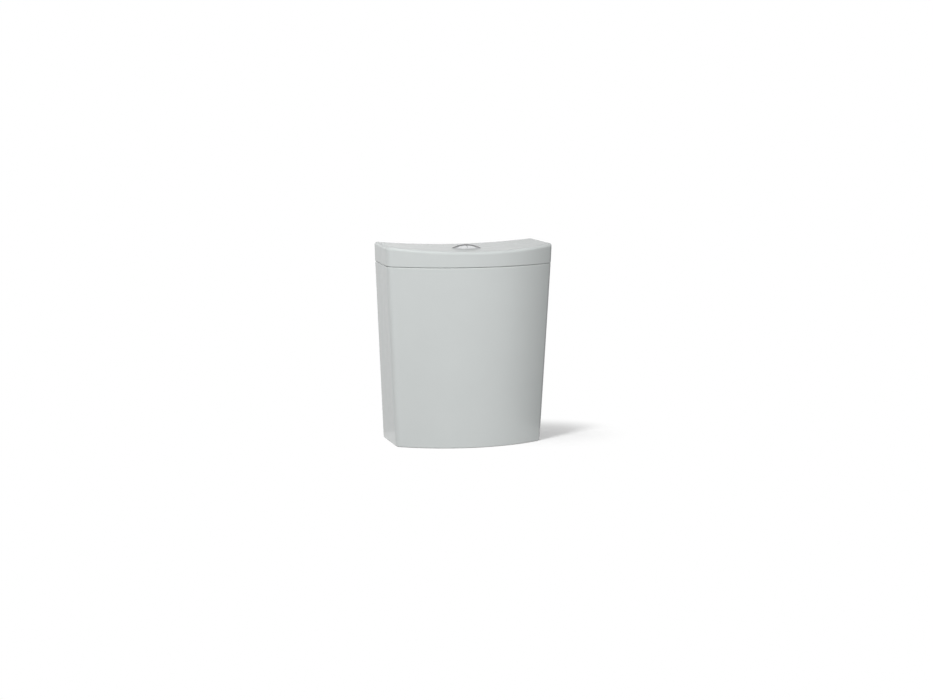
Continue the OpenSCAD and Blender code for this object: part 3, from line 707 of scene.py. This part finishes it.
def soft_ring(name, node, inner, r, swell):
    """Flat rubber ring with a rounded, slightly swollen edge."""
    centre, outer, low, high = span(node)
    middle = (low + high) / 2
    profile = [
        (inner, low), (outer - swell, low), (outer, middle), (outer - swell, high), (inner, high),
    ]
    return smooth(lathe(name, rounded(profile, [r, r, r, r, r]), centre, 128))


def sponge_ring():
    """Thick sponge ring over the nut: crowned sides and a soft shoulder that presses on the bowl."""
    centre, outer, low, high = span("bowl_gasket")
    nut_low = SKIRT_H - VALVE_NUT_T - SLIDE
    bulge = 1.2
    profile = [
        (TAIL_R + SLIDE, TAIL_END), (TAIL_R + SLIDE, nut_low), (VALVE_NUT_R + SLIDE, nut_low),
        (VALVE_NUT_R + SLIDE, high), (outer - bulge, high), (outer, lerp(low, high, 0.6)),
        (outer - bulge, lerp(low, high, 0.3)), (outer - 8, low), (TAIL_R + 8, low),
    ]
    radii = [2.0, 0.6, 0.6, 0.8, 2.5, 12.0, 5.0, 4.0, 4.0]
    return smooth(lathe("sponge_ring", rounded(profile, radii, 8), centre, 160))


def rim_pads():
    """Four soft pads on the rim that the lid rests on."""
    plan = tank_plan(TANK_H)
    half_w = 3.0
    half_l = 7.0
    edge = 0.2
    pads = []
    for side in (-1, 1):
        for f in (0.2, 0.8):
            x = side * (plan[0] * lerp(plan[3], 1, f) - WALL / 2)
            y = BACK_Y - plan[1] * f
            rings = []
            for inset, z in ((0, TANK_H), (0, TANK_H + LID_GAP - edge), (edge, TANK_H + LID_GAP)):
                ring = []
                corner = half_w - inset
                for sy, start in ((1, 0), (1, 90), (-1, 180), (-1, 270)):
                    centre = (x, y + sy * (half_l - half_w))
                    ring += [(px, py, z) for px, py in arc(centre, corner, start, start + 90, 6)]
                rings.append(ring)
            n = len(rings[0])
            faces = [tuple(range(n)), tuple(range(2 * n, 3 * n))]
            for i in range(2):
                for k in range(n):
                    a = i * n + k
                    b = i * n + (k + 1) % n
                    faces.append((a, b, b + n, a + n))
            pad = mesh_object("pad", rings[0] + rings[1] + rings[2], faces)
            face_outward(pad)
            pads.append(pad)
    return smooth(joined("rim_pads", pads))


stand_in(inlet_shank(), "cistern", "white_plastic", "fill_valve_shank")
stand_in(ribbed_collar(), "cistern", "blue_plastic", "riser_collar")
for label in ("full", "half"):
    stand_in(push_rod(label + "_push_rod", label + "_flush_rod"), label + "_button", "white_plastic",
             label + "_flush_rod")

tail_ring = soft_ring("tail_ring", "flush_valve_gasket", TAIL_R + SLIDE, 0.5, 0.5)
stand_in(tail_ring, "cistern", "black_rubber", "flush_valve_gasket")
inlet_ring = soft_ring("inlet_ring", "fill_valve_washer", INLET_R + SLIDE, 0.5, 0.5)
stand_in(inlet_ring, "cistern", "black_rubber", "fill_valve_washer")
hub_r = span("seal_retainer")[1] - RETAINER_W
plate_ring = soft_ring("plate_ring", "flush_seal", hub_r + 0.1, 0.6, 0.8)
stand_in(plate_ring, "standpipe", "red_rubber", "flush_seal")
bowl_ring = sponge_ring()
stand_in(bowl_ring, "cistern", "sponge_rubber", "bowl_gasket")
pads_piece = rim_pads()
stand_in(pads_piece, "cistern", "clear_pad", "lid_bumpers")


# Materials

def new_material(name):
    material = bpy.data.materials.new(name)
    material.use_nodes = True
    tree = material.node_tree
    tree.nodes.clear()
    out = tree.nodes.new("ShaderNodeOutputMaterial")
    shader = tree.nodes.new("ShaderNodeBsdfPrincipled")
    tree.links.new(shader.outputs["BSDF"], out.inputs["Surface"])
    return material, tree, shader


def noise(tree, scale, detail=3.0, roughness=0.55, stretch=(1, 1, 1)):
    """Noise in the object's own space."""
    coords = tree.nodes.new("ShaderNodeTexCoord")
    place = tree.nodes.new("ShaderNodeMapping")
    place.inputs["Scale"].default_value = stretch
    texture = tree.nodes.new("ShaderNodeTexNoise")
    texture.inputs["Scale"].default_value = scale
    texture.inputs["Detail"].default_value = detail
    texture.inputs["Roughness"].default_value = roughness
    tree.links.new(coords.outputs["Object"], place.inputs["Vector"])
    tree.links.new(place.outputs["Vector"], texture.inputs["Vector"])
    return texture.outputs["Fac"]


def spread(tree, value, low, high, from_low=0.3, from_high=0.7):
    """Maps a noise value to a range."""
    node = tree.nodes.new("ShaderNodeMapRange")
    node.inputs["From Min"].default_value = from_low
    node.inputs["From Max"].default_value = from_high
    node.inputs["To Min"].default_value = low
    node.inputs["To Max"].default_value = high
    tree.links.new(value, node.inputs["Value"])
    return node.outputs["Result"]


def shades(tree, value, dark, light, from_low=0.3, from_high=0.7):
    """Maps a noise value to a colour between two shades."""
    ramp = tree.nodes.new("ShaderNodeValToRGB")
    ramp.color_ramp.elements[0].position = from_low
    ramp.color_ramp.elements[0].color = (*dark, 1)
    ramp.color_ramp.elements[1].position = from_high
    ramp.color_ramp.elements[1].color = (*light, 1)
    tree.links.new(value, ramp.inputs["Fac"])
    return ramp.outputs["Color"]


def bump(tree, value, strength, distance, normal=None):
    node = tree.nodes.new("ShaderNodeBump")
    node.inputs["Strength"].default_value = strength
    node.inputs["Distance"].default_value = distance
    tree.links.new(value, node.inputs["Height"])
    if normal is not None:
        tree.links.new(normal, node.inputs["Normal"])
    return node.outputs["Normal"]


def scaled(colour, k):
    return tuple(min(1.0, c * k) for c in colour)


def glaze(name, colour, roughness):
    """Fired glaze: a faint drift of tone, a soft orange peel and a clear gloss on top."""
    material, tree, shader = new_material(name)
    tone = shades(tree, noise(tree, 11.0, 4.0), scaled(colour, 0.985), scaled(colour, 1.01))
    tree.links.new(tone, shader.inputs["Base Color"])
    gloss = spread(tree, noise(tree, 45.0, 3.0), roughness * 0.85, roughness * 1.2)
    tree.links.new(gloss, shader.inputs["Roughness"])
    peel = bump(tree, noise(tree, 210.0, 2.0), 0.035, 0.0006)
    swell = bump(tree, noise(tree, 14.0, 1.0), 0.06, 0.004, peel)
    tree.links.new(swell, shader.inputs["Normal"])
    shader.inputs["IOR"].default_value = 1.5
    return material


def bisque(name, colour):
    """Bare fired clay: matt and sandy."""
    material, tree, shader = new_material(name)
    tone = shades(tree, noise(tree, 320.0, 5.0), scaled(colour, 0.9), scaled(colour, 1.04))
    tree.links.new(tone, shader.inputs["Base Color"])
    tree.links.new(spread(tree, noise(tree, 90.0), 0.75, 0.95), shader.inputs["Roughness"])
    tree.links.new(bump(tree, noise(tree, 900.0, 4.0), 0.25, 0.0004), shader.inputs["Normal"])
    return material


def chrome(name):
    """Bright plating with a faint haze of fine marks."""
    material, tree, shader = new_material(name)
    tone = shades(tree, noise(tree, 60.0, 3.0), (0.70, 0.71, 0.72), (0.76, 0.77, 0.78))
    tree.links.new(tone, shader.inputs["Base Color"])
    shader.inputs["Metallic"].default_value = 1.0
    tree.links.new(spread(tree, noise(tree, 130.0, 4.0), 0.05, 0.11), shader.inputs["Roughness"])
    tree.links.new(bump(tree, noise(tree, 240.0, 2.0), 0.015, 0.0003), shader.inputs["Normal"])
    return material


def plastic(name, colour, roughness):
    """Moulded plastic: a slight flow of tone and a fine moulded grain."""
    material, tree, shader = new_material(name)
    flow = noise(tree, 38.0, 3.0, 0.5, (1, 1, 0.4))
    tone = shades(tree, flow, scaled(colour, 0.94), scaled(colour, 1.03))
    tree.links.new(tone, shader.inputs["Base Color"])
    rough = spread(tree, noise(tree, 160.0, 3.0), roughness * 0.85, roughness * 1.2)
    tree.links.new(rough, shader.inputs["Roughness"])
    tree.links.new(bump(tree, noise(tree, 1400.0, 2.0), 0.06, 0.0002), shader.inputs["Normal"])
    return material


def rubber(name, colour, cells):
    """Soft rubber: matt, with pores where it is a sponge."""
    material, tree, shader = new_material(name)
    grain = noise(tree, 420.0 if cells else 70.0, 4.0)
    tone = shades(tree, grain, scaled(colour, 0.7), scaled(colour, 1.15))
    tree.links.new(tone, shader.inputs["Base Color"])
    tree.links.new(spread(tree, noise(tree, 120.0), 0.6, 0.8), shader.inputs["Roughness"])
    pores = noise(tree, 800.0 if cells else 1600.0, 3.0)
    strength = 0.5 if cells else 0.1
    depth = 0.0008 if cells else 0.0002
    tree.links.new(bump(tree, pores, strength, depth), shader.inputs["Normal"])
    shader.inputs["Specular IOR Level"].default_value = 0.35
    return material


def steel(name):
    """Drawn wire and pins: grey metal with fine marks."""
    material, tree, shader = new_material(name)
    tone = shades(tree, noise(tree, 150.0, 3.0), (0.50, 0.50, 0.51), (0.60, 0.60, 0.61))
    tree.links.new(tone, shader.inputs["Base Color"])
    shader.inputs["Metallic"].default_value = 1.0
    tree.links.new(spread(tree, noise(tree, 500.0), 0.2, 0.36), shader.inputs["Roughness"])
    tree.links.new(bump(tree, noise(tree, 900.0, 2.0), 0.05, 0.0001), shader.inputs["Normal"])
    return material


CERAMIC = (0.665, 0.695, 0.688)
looks = {
    "ceramic": glaze("glaze", CERAMIC, 0.22),
    "inside": glaze("inside_glaze", scaled(CERAMIC, 0.97), 0.28),
    "bare": bisque("bare_clay", (0.62, 0.60, 0.56)),
    "chrome": chrome("chrome_plate"),
    "white_plastic": plastic("white_moulding", (0.80, 0.80, 0.78), 0.32),
    "pale_plastic": plastic("pale_moulding", (0.66, 0.67, 0.68), 0.32),
    "grey_plastic": plastic("grey_moulding", (0.28, 0.29, 0.30), 0.38),
    "dark_plastic": plastic("dark_moulding", (0.055, 0.06, 0.065), 0.4),
    "blue_plastic": plastic("blue_moulding", (0.05, 0.16, 0.36), 0.34),
    "light_blue_plastic": plastic("light_blue_moulding", (0.20, 0.42, 0.60), 0.34),
    "black_rubber": rubber("black_rubber", (0.03, 0.03, 0.032), False),
    "red_rubber": rubber("red_rubber", (0.30, 0.045, 0.03), False),
    "sponge_rubber": rubber("sponge_rubber", (0.05, 0.05, 0.052), True),
    "clear_pad": plastic("clear_pad", (0.62, 0.64, 0.64), 0.3),
    "spring_steel": steel("spring_steel"),
}

for piece in (tank_piece, lid_piece):
    for key in ("ceramic", "bare", "inside"):
        piece.data.materials.append(looks[key])

for piece in bpy.data.objects:
    if "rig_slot" in piece and not piece.data.materials:
        piece.data.materials.append(looks[piece["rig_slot"]])


def soften(obj, width=0.35):
    """Rounds the sharp edges of a moulded solid a little, as its mould does."""
    weld = obj.modifiers.new("weld", "WELD")
    weld.merge_threshold = 0.001 * MM
    flat = obj.modifiers.new("flat", "DECIMATE")
    flat.decimate_type = "DISSOLVE"
    flat.angle_limit = math.radians(0.5)
    edge = obj.modifiers.new("edge", "BEVEL")
    edge.width = width * MM
    edge.segments = 2
    edge.limit_method = "ANGLE"
    edge.angle_limit = math.radians(35)
    weighted = obj.modifiers.new("weighted", "WEIGHTED_NORMAL")
    weighted.weight = NORMAL_WEIGHT


node_slots = {}
for entry in frame["record"]["subparts"]:
    node_slots[entry["node"]] = entry["material_slot"]
for name, obj in frame["nodes"].items():
    obj.data.materials.clear()
    obj.data.materials.append(looks[node_slots[name]])
    if name not in stood_for:
        soften(obj)


# Camera, at the photograph's viewing angle

SENSOR = 36.0
FOCAL = 87.75
AZIMUTH = math.radians(14.91)
ELEVATION = math.radians(7.73)
DISTANCE = 4537.5
TARGET = Vector((0.0, 27.6, 156.75))
SHIFT_RIGHT = 8.68
SHIFT_UP = 23.24
forward = Vector((
    math.sin(AZIMUTH) * math.cos(ELEVATION),
    math.cos(AZIMUTH) * math.cos(ELEVATION),
    -math.sin(ELEVATION),
))
right = Vector((math.cos(AZIMUTH), -math.sin(AZIMUTH), 0.0))
up = right.cross(forward)
place = TARGET - forward * DISTANCE + right * SHIFT_RIGHT + up * SHIFT_UP
camera_data = bpy.data.cameras.new("camera")
camera_data.sensor_fit = "HORIZONTAL"
camera_data.sensor_width = SENSOR
camera_data.lens = FOCAL
camera_data.clip_end = 100.0
camera = bpy.data.objects.new("camera", camera_data)
camera.location = place * MM
camera.rotation_euler = forward.to_track_quat("-Z", "Y").to_euler()
bpy.context.scene.collection.objects.link(camera)
bpy.context.scene.camera = camera


# Light, floor and surroundings

CENTRE = Vector((0.0, 0.0, 0.2))


def softbox(name, azimuth, elevation, distance, size, share, mirrored=False):
    """Soft lamp aimed at the object, with its width and height as size.

    Share is the part of full light that it gives on a face turned to it.
    Only a mirrored lamp shows in gloss.
    """
    data = bpy.data.lights.new(name, "AREA")
    data.shape = "RECTANGLE"
    data.size, data.size_y = size
    data.energy = share * math.pi ** 2 * distance ** 2
    lamp = bpy.data.objects.new(name, data)
    a = math.radians(azimuth)
    e = math.radians(elevation)
    towards = Vector((math.sin(a) * math.cos(e), -math.cos(a) * math.cos(e), math.sin(e)))
    lamp.location = CENTRE + towards * distance
    lamp.rotation_euler = (-towards).to_track_quat("-Z", "Y").to_euler()
    lamp.visible_camera = False
    lamp.visible_glossy = mirrored
    bpy.context.scene.collection.objects.link(lamp)
    return lamp


softbox("key", azimuth=-45, elevation=52, distance=4.6, size=(0.7, 0.7), share=0.46)
softbox("key_soft", azimuth=-45, elevation=46, distance=4.6, size=(2.6, 2.6), share=0.13, mirrored=True)
softbox("front", azimuth=6, elevation=8, distance=5.0, size=(2.0, 1.2), share=0.52)
softbox("left", azimuth=-115, elevation=12, distance=4.0, size=(1.6, 1.2), share=0.35)
softbox("right", azimuth=150, elevation=12, distance=4.0, size=(1.6, 1.2), share=0.26)
softbox("back", azimuth=180, elevation=52, distance=4.0, size=(1.8, 1.2), share=0.12)


def seen_directly(tree):
    """1 for camera, glossy and transmission rays, and 0 for the rest."""
    path = tree.nodes.new("ShaderNodeLightPath")
    first = tree.nodes.new("ShaderNodeMath")
    first.operation = "MAXIMUM"
    second = tree.nodes.new("ShaderNodeMath")
    second.operation = "MAXIMUM"
    tree.links.new(path.outputs["Is Camera Ray"], first.inputs[0])
    tree.links.new(path.outputs["Is Glossy Ray"], first.inputs[1])
    tree.links.new(first.outputs[0], second.inputs[0])
    tree.links.new(path.outputs["Is Transmission Ray"], second.inputs[1])
    return second.outputs[0]


WORLD_FILL = 0.03
world = bpy.data.worlds.new("studio")
bpy.context.scene.world = world
world.use_nodes = True
tree = world.node_tree
tree.nodes.clear()
out = tree.nodes.new("ShaderNodeOutputWorld")
mix = tree.nodes.new("ShaderNodeMixShader")
fill = tree.nodes.new("ShaderNodeBackground")
fill.inputs["Color"].default_value = (1, 1, 1, 1)
fill.inputs["Strength"].default_value = WORLD_FILL
white = tree.nodes.new("ShaderNodeBackground")
white.inputs["Color"].default_value = (1, 1, 1, 1)
white.inputs["Strength"].default_value = 1.0
tree.links.new(seen_directly(tree), mix.inputs[0])
tree.links.new(fill.outputs[0], mix.inputs[1])
tree.links.new(white.outputs[0], mix.inputs[2])
tree.links.new(mix.outputs[0], out.inputs["Surface"])

# The floor is pale and lit by the lamps where the shadow falls, and plain white further away.
# It throws less light back on the object than it shows.
REACH = 40.0
LIT_SHADE = 0.95
BOUNCE_SHADE = 0.18
GLOW = 0.24
GLOW_NEAR = 0.05
GLOW_FAR = 0.19
SHADOW_PLACE = (0.175, 0.06, 0.0)
floor_mesh = bpy.data.meshes.new("floor")
floor_mesh.from_pydata(
    [(-REACH, -REACH, 0), (REACH, -REACH, 0), (REACH, REACH, 0), (-REACH, REACH, 0)], [], [(0, 1, 2, 3)]
)
floor = link_object("floor", floor_mesh)
material = bpy.data.materials.new("floor")
material.use_nodes = True
tree = material.node_tree
tree.nodes.clear()
out = tree.nodes.new("ShaderNodeOutputMaterial")
lit = tree.nodes.new("ShaderNodeBsdfDiffuse")
lit.inputs["Color"].default_value = (LIT_SHADE, LIT_SHADE, LIT_SHADE, 1)
bounce = tree.nodes.new("ShaderNodeBsdfDiffuse")
bounce.inputs["Color"].default_value = (BOUNCE_SHADE, BOUNCE_SHADE, BOUNCE_SHADE, 1)
glow = tree.nodes.new("ShaderNodeEmission")
glow.inputs["Color"].default_value = (1, 1, 1, 1)
glow.inputs["Strength"].default_value = GLOW
near = tree.nodes.new("ShaderNodeAddShader")
tree.links.new(lit.outputs[0], near.inputs[0])
tree.links.new(glow.outputs[0], near.inputs[1])
plain = tree.nodes.new("ShaderNodeEmission")
plain.inputs["Color"].default_value = (1, 1, 1, 1)
plain.inputs["Strength"].default_value = 1.0
coords = tree.nodes.new("ShaderNodeTexCoord")
far = tree.nodes.new("ShaderNodeVectorMath")
far.operation = "DISTANCE"
far.inputs[1].default_value = SHADOW_PLACE
tree.links.new(coords.outputs["Object"], far.inputs[0])
level = tree.nodes.new("ShaderNodeMapRange")
level.interpolation_type = "SMOOTHSTEP"
level.inputs["From Min"].default_value = GLOW_NEAR
level.inputs["From Max"].default_value = GLOW_FAR
tree.links.new(far.outputs["Value"], level.inputs["Value"])
shown = tree.nodes.new("ShaderNodeMixShader")
tree.links.new(level.outputs["Result"], shown.inputs[0])
tree.links.new(near.outputs[0], shown.inputs[1])
tree.links.new(plain.outputs[0], shown.inputs[2])
pick = tree.nodes.new("ShaderNodeMixShader")
tree.links.new(seen_directly(tree), pick.inputs[0])
tree.links.new(bounce.outputs[0], pick.inputs[1])
tree.links.new(shown.outputs[0], pick.inputs[2])
tree.links.new(pick.outputs[0], out.inputs["Surface"])
floor.data.materials.append(material)


def reflected_card(name, corners, tones, places, axis):
    """Glowing grey card that only reflections show: a painted reflection that darkens the gloss of faces
    turned to it. Its tone runs from one to the other between two places.
    """
    mesh = bpy.data.meshes.new(name)
    mesh.from_pydata(corners, [], [(0, 1, 2, 3)])
    card = link_object(name, mesh)
    material = bpy.data.materials.new(name)
    material.use_nodes = True
    tree = material.node_tree
    tree.nodes.clear()
    out = tree.nodes.new("ShaderNodeOutputMaterial")
    grey = tree.nodes.new("ShaderNodeEmission")
    grey.inputs["Strength"].default_value = 1.0
    coords = tree.nodes.new("ShaderNodeTexCoord")
    split = tree.nodes.new("ShaderNodeSeparateXYZ")
    tree.links.new(coords.outputs["Object"], split.inputs[0])
    along = tree.nodes.new("ShaderNodeMapRange")
    along.inputs["From Min"].default_value = places[0]
    along.inputs["From Max"].default_value = places[1]
    tree.links.new(split.outputs[axis], along.inputs["Value"])
    tone = shades(tree, along.outputs["Result"], (tones[0],) * 3, (tones[1],) * 3, 0.0, 1.0)
    tree.links.new(tone, grey.inputs["Color"])
    tree.links.new(grey.outputs[0], out.inputs["Surface"])
    card.data.materials.append(material)
    card.visible_camera = False
    card.visible_diffuse = False
    card.visible_shadow = False


BEHIND = 4.0
# Painted reflection: a glowing sheet far behind, seen only in gloss, pale low down and dark higher up.
reflected_card(
    "backdrop",
    [(-6, BEHIND, 0), (6, BEHIND, 0), (6, BEHIND, 3), (-6, BEHIND, 3)],
    tones=(0.95, 0.3), places=(0.95, 1.35), axis="Z",
)
CARD_LOW = 0.002
BESIDE = 0.25
BESIDE_HIGH = 0.38
# Painted shade: a glowing sheet beside the right end, seen only in gloss, darker towards the back, that
# darkens the right end of the front.
reflected_card(
    "side_card",
    [
        (BESIDE, -0.33, CARD_LOW), (BESIDE, 0.3, CARD_LOW),
        (BESIDE, 0.3, BESIDE_HIGH), (BESIDE, -0.33, BESIDE_HIGH),
    ],
    tones=(1.0, 0.1), places=(-0.33, -0.05), axis="Y",
)
ASTERN = 0.12
ASTERN_HIGH = 0.39
# Painted shade: a glowing grey sheet behind the left side, seen only in gloss, that darkens the left side
# of the tank.
reflected_card(
    "left_card",
    [
        (-1.2, ASTERN, CARD_LOW), (-0.15, ASTERN, CARD_LOW),
        (-0.15, ASTERN, ASTERN_HIGH), (-1.2, ASTERN, ASTERN_HIGH),
    ],
    tones=(0.76, 0.76), places=(0.0, 1.0), axis="Z",
)

bpy.context.scene.view_settings.view_transform = "Standard"

bpy.context.view_layer.update()
